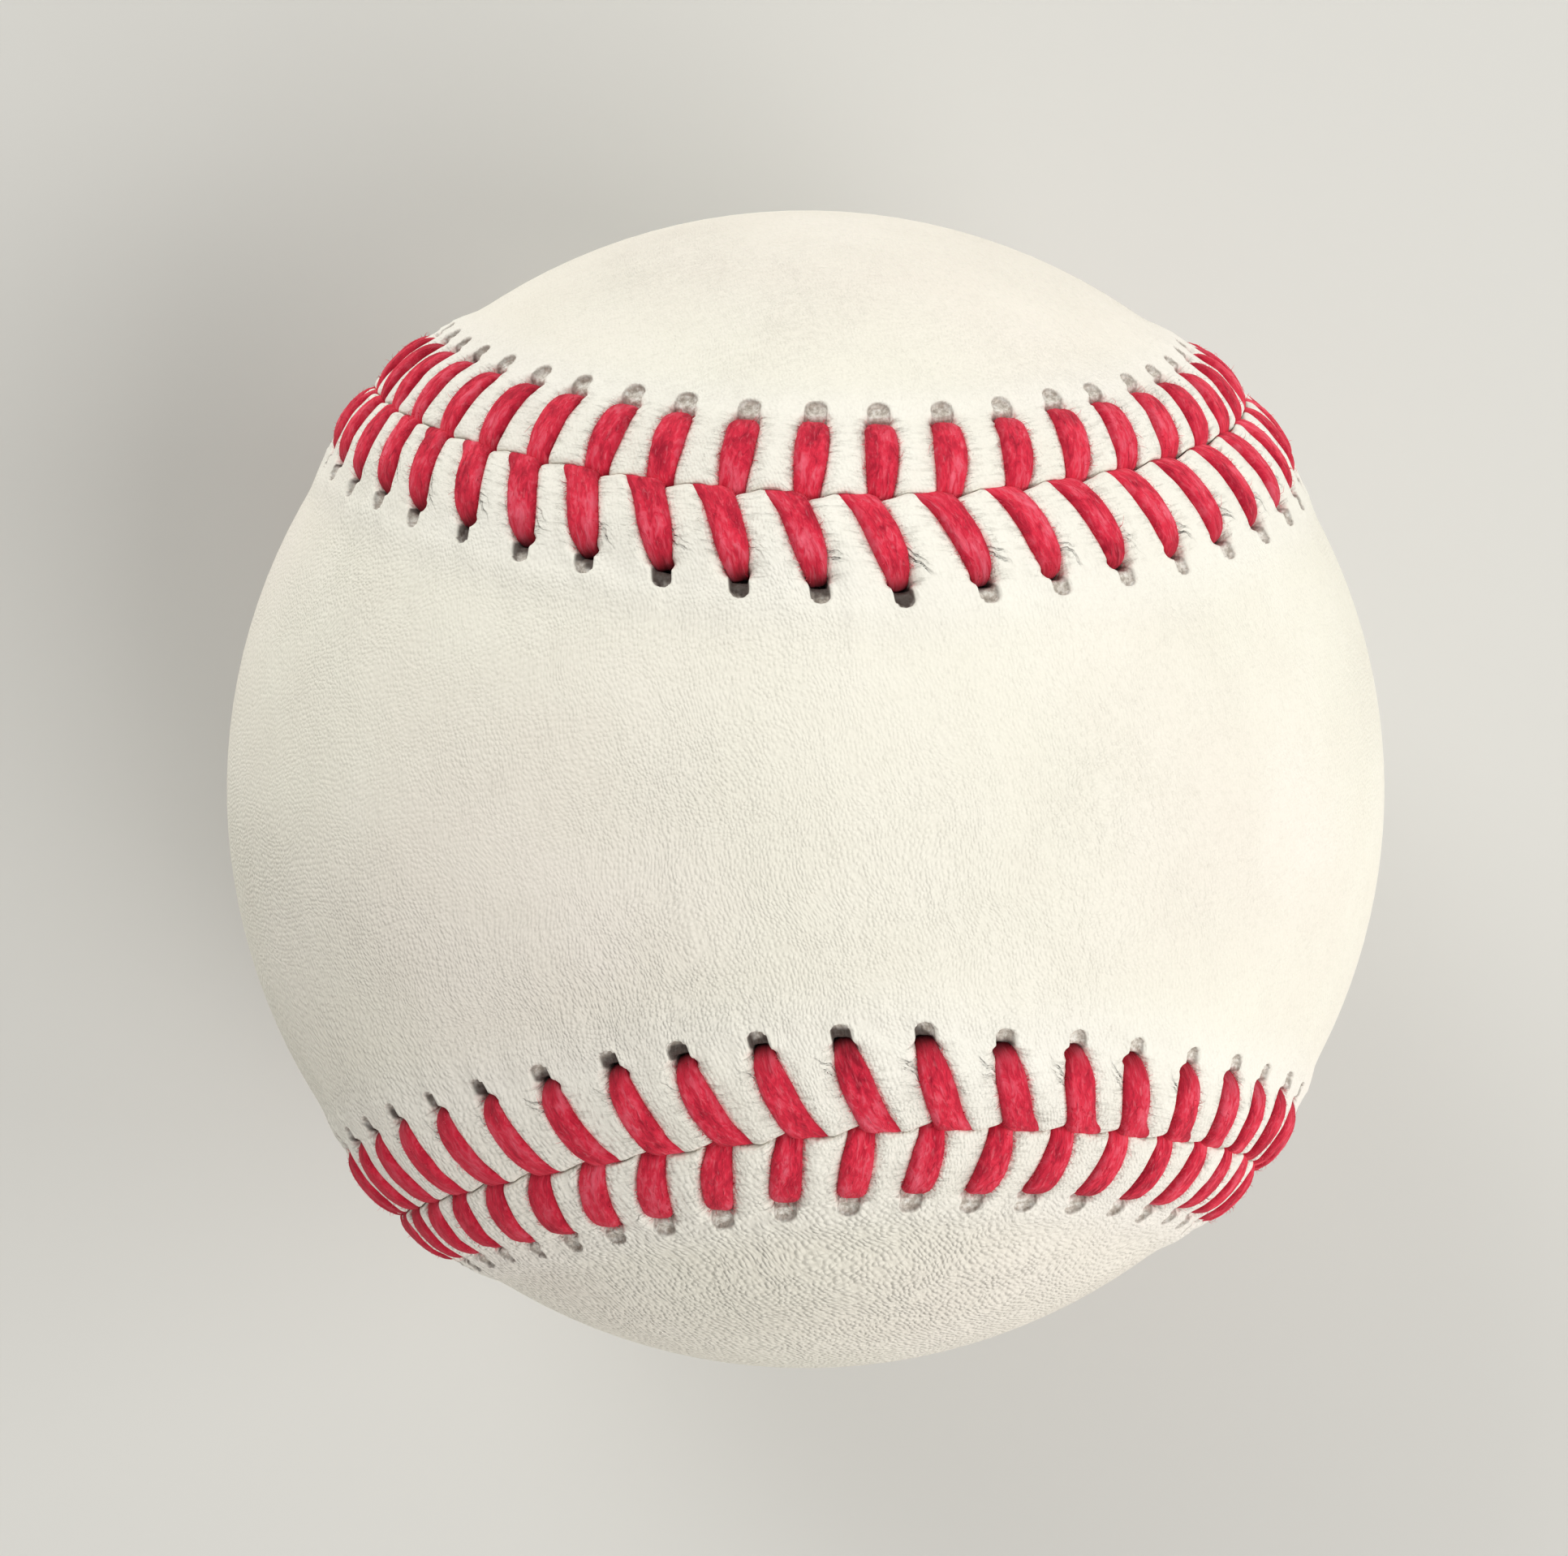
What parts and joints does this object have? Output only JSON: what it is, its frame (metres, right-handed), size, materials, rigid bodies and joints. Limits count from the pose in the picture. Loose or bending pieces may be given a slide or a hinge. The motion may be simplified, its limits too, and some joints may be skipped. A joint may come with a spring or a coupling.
{
  "type": "baseball",
  "caption": "Hand-stitched baseball: two figure-eight cowhide panels joined by red thread over yarn windings and a cushioned cork and rubber centre.",
  "frame": {"origin": "the ball's centre", "axes": "+Z out through the middle of the upper panel's neck, +X along that neck towards one of the panel's lobes; the lower panel's neck lies across -Z along Y"},
  "size_m": [0.0746, 0.0746, 0.0746],
  "materials": {
    "cork": "ground cork bound with rubber, matt",
    "black_rubber": "moulded black rubber, matt",
    "red_rubber": "moulded red rubber, matt",
    "grey_wool": "grey wool yarn, wound tight",
    "white_wool": "white wool yarn, wound tight",
    "white_cotton": "fine white cotton thread, wound tight",
    "cowhide": "white alum-tanned cowhide, fine pebble grain, satin",
    "red_thread": "waxed red cotton thread, slightly fuzzy"
  },
  "bodies": {
    "root": {"cork_centre": "cork", "lower_black_shell": "black_rubber", "upper_black_shell": "black_rubber", "gasket_ring": "red_rubber", "red_rubber_shell": "red_rubber", "first_winding": "grey_wool", "second_winding": "white_wool", "third_winding": "grey_wool", "finishing_winding": "white_cotton", "upper_cover_panel": "cowhide", "lower_cover_panel": "cowhide", "first_needle_thread": "red_thread", "second_needle_thread": "red_thread"}
  },
  "joints": []
}
